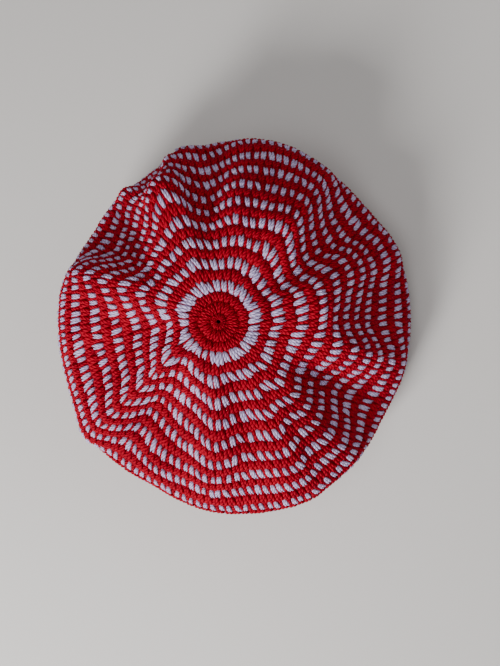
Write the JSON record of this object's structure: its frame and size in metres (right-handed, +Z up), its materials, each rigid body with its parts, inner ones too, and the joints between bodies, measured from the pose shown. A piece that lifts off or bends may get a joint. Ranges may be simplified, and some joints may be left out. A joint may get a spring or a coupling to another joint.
{
  "type": "tam o shanter",
  "caption": "Crocheted tam o' shanter with a wide soft crown in alternating red and white rounds, folds running out from its middle, and a head band below.",
  "frame": {"origin": "on the floor under the middle of the crown's outline, where the band stands", "axes": "+Z up from the head opening through the crown, +X towards the side that sags lowest"},
  "size_m": [0.2774, 0.2876, 0.1173],
  "materials": {
    "red_yarn": "matte crochet",
    "white_yarn": "matte crochet"
  },
  "bodies": {
    "root": {"crown": "red_yarn", "band": "red_yarn"}
  },
  "joints": []
}
